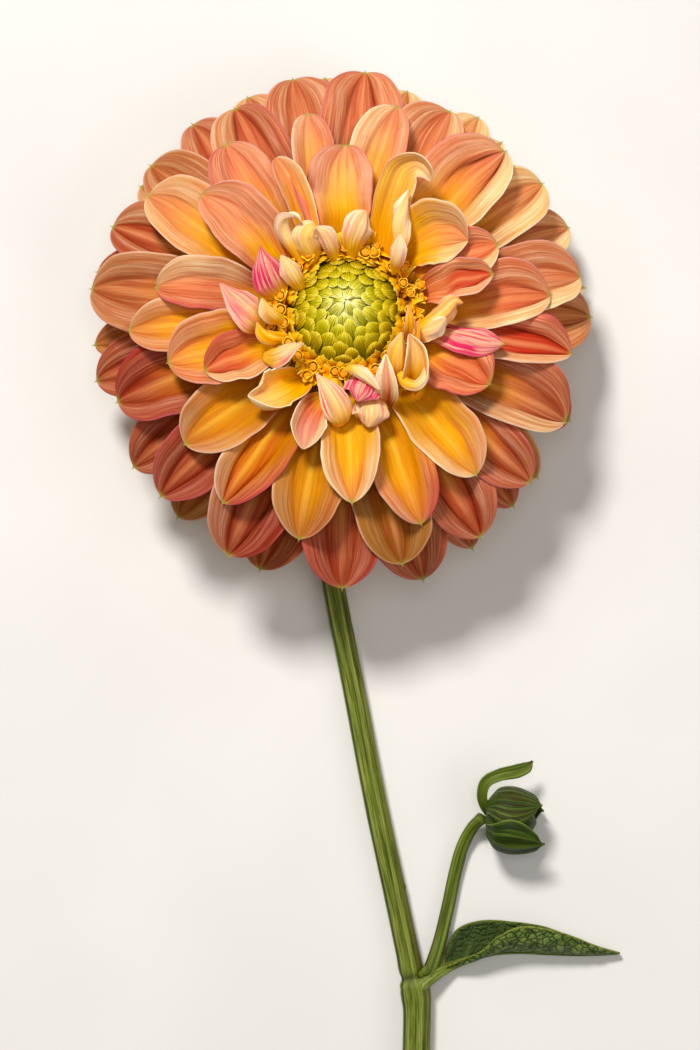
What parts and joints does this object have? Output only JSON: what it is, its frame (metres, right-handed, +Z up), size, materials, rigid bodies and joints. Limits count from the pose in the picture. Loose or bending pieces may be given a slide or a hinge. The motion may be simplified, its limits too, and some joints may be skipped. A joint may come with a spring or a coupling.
{
  "type": "dahlia flower",
  "caption": "Cut dahlia bloom, face up, with cupped overlapping ray florets round a green disc, a bent neck, ridged stem, folded leaf and side bud, lying on a surface.",
  "frame": {"origin": "centre of the bounding box's footprint on the surface that the flower lies on", "axes": "+Z up from the surface, +Y along the stem from its cut end towards the bloom, +X towards the leaf and bud; the bloom faces up"},
  "size_m": [0.1078, 0.2117, 0.0416],
  "materials": {
    "ray_outer": "dusky terracotta salmon blade, maroon grooves towards the tip, golden claw, thin pink rim, satin",
    "ray_middle": "golden orange blade running to salmon, some cream-edged, fine lengthwise veins, satin",
    "ray_inner": "orange inside, cream to magenta-striped outside, curled cream rims, satin",
    "ray_back": "cream tan to olive, brown towards the tip, matte",
    "disc_scale": "lime green ribbed scales, yellow at the middle",
    "disc_floret": "orange yellow tubular florets with dark gaps",
    "receptacle": "pale green, fleshy, matte",
    "bract": "mid green, satin",
    "stem": "olive green with pale ridges, purple brown on one side, satin",
    "leaf": "dark green with a grey sheen above, paler net-veined underside, yellow green midrib",
    "bud": "dark green glossy ribbed bracts, purple brown flush"
  },
  "bodies": {
    "root": {"receptacle": "receptacle", "involucre_bracts": "bract", "disc_florets_closed": "disc_scale", "disc_florets_open": "disc_floret", "back_rays_right": "ray_back", "back_rays_bottom": "ray_back", "back_rays_left": "ray_back", "back_rays_top": "ray_back", "small_rays_top": "ray_inner", "small_rays_right": "ray_inner", "small_rays_bottom": "ray_inner", "small_rays_left": "ray_inner", "outer_ray_01": "ray_outer", "outer_ray_02": "ray_outer", "outer_ray_03": "ray_outer", "outer_ray_04": "ray_outer", "outer_ray_05": "ray_outer", "outer_ray_06": "ray_outer", "outer_ray_07": "ray_outer", "outer_ray_08": "ray_outer", "outer_ray_09": "ray_outer", "outer_ray_10": "ray_outer", "outer_ray_11": "ray_outer", "outer_ray_12": "ray_outer", "outer_ray_13": "ray_outer", "outer_ray_14": "ray_outer", "outer_ray_15": "ray_outer", "outer_ray_16": "ray_outer", "outer_ray_17": "ray_outer", "outer_ray_18": "ray_outer", "inner_ray_01": "ray_inner", "inner_ray_02": "ray_inner", "inner_ray_03": "ray_inner", "inner_ray_04": "ray_inner", "inner_ray_05": "ray_inner", "inner_ray_06": "ray_inner", "middle_ray_01": "ray_middle", "middle_ray_02": "ray_middle", "middle_ray_03": "ray_middle", "middle_ray_04": "ray_middle", "middle_ray_05": "ray_middle", "middle_ray_06": "ray_middle", "middle_ray_07": "ray_middle", "middle_ray_08": "ray_middle", "middle_ray_09": "ray_middle", "middle_ray_10": "ray_middle", "middle_ray_11": "ray_middle", "middle_ray_12": "ray_middle", "middle_ray_13": "ray_middle", "middle_ray_14": "ray_middle", "main_stem": "stem", "side_shoot": "stem", "bud_core": "bud", "bud_bract_upper": "bud", "bud_bract_lower": "bud", "bud_bract_small": "bud", "bud_bract_behind": "bud", "bud_bract_reflexed": "bud", "leaf": "leaf"}
  },
  "joints": []
}
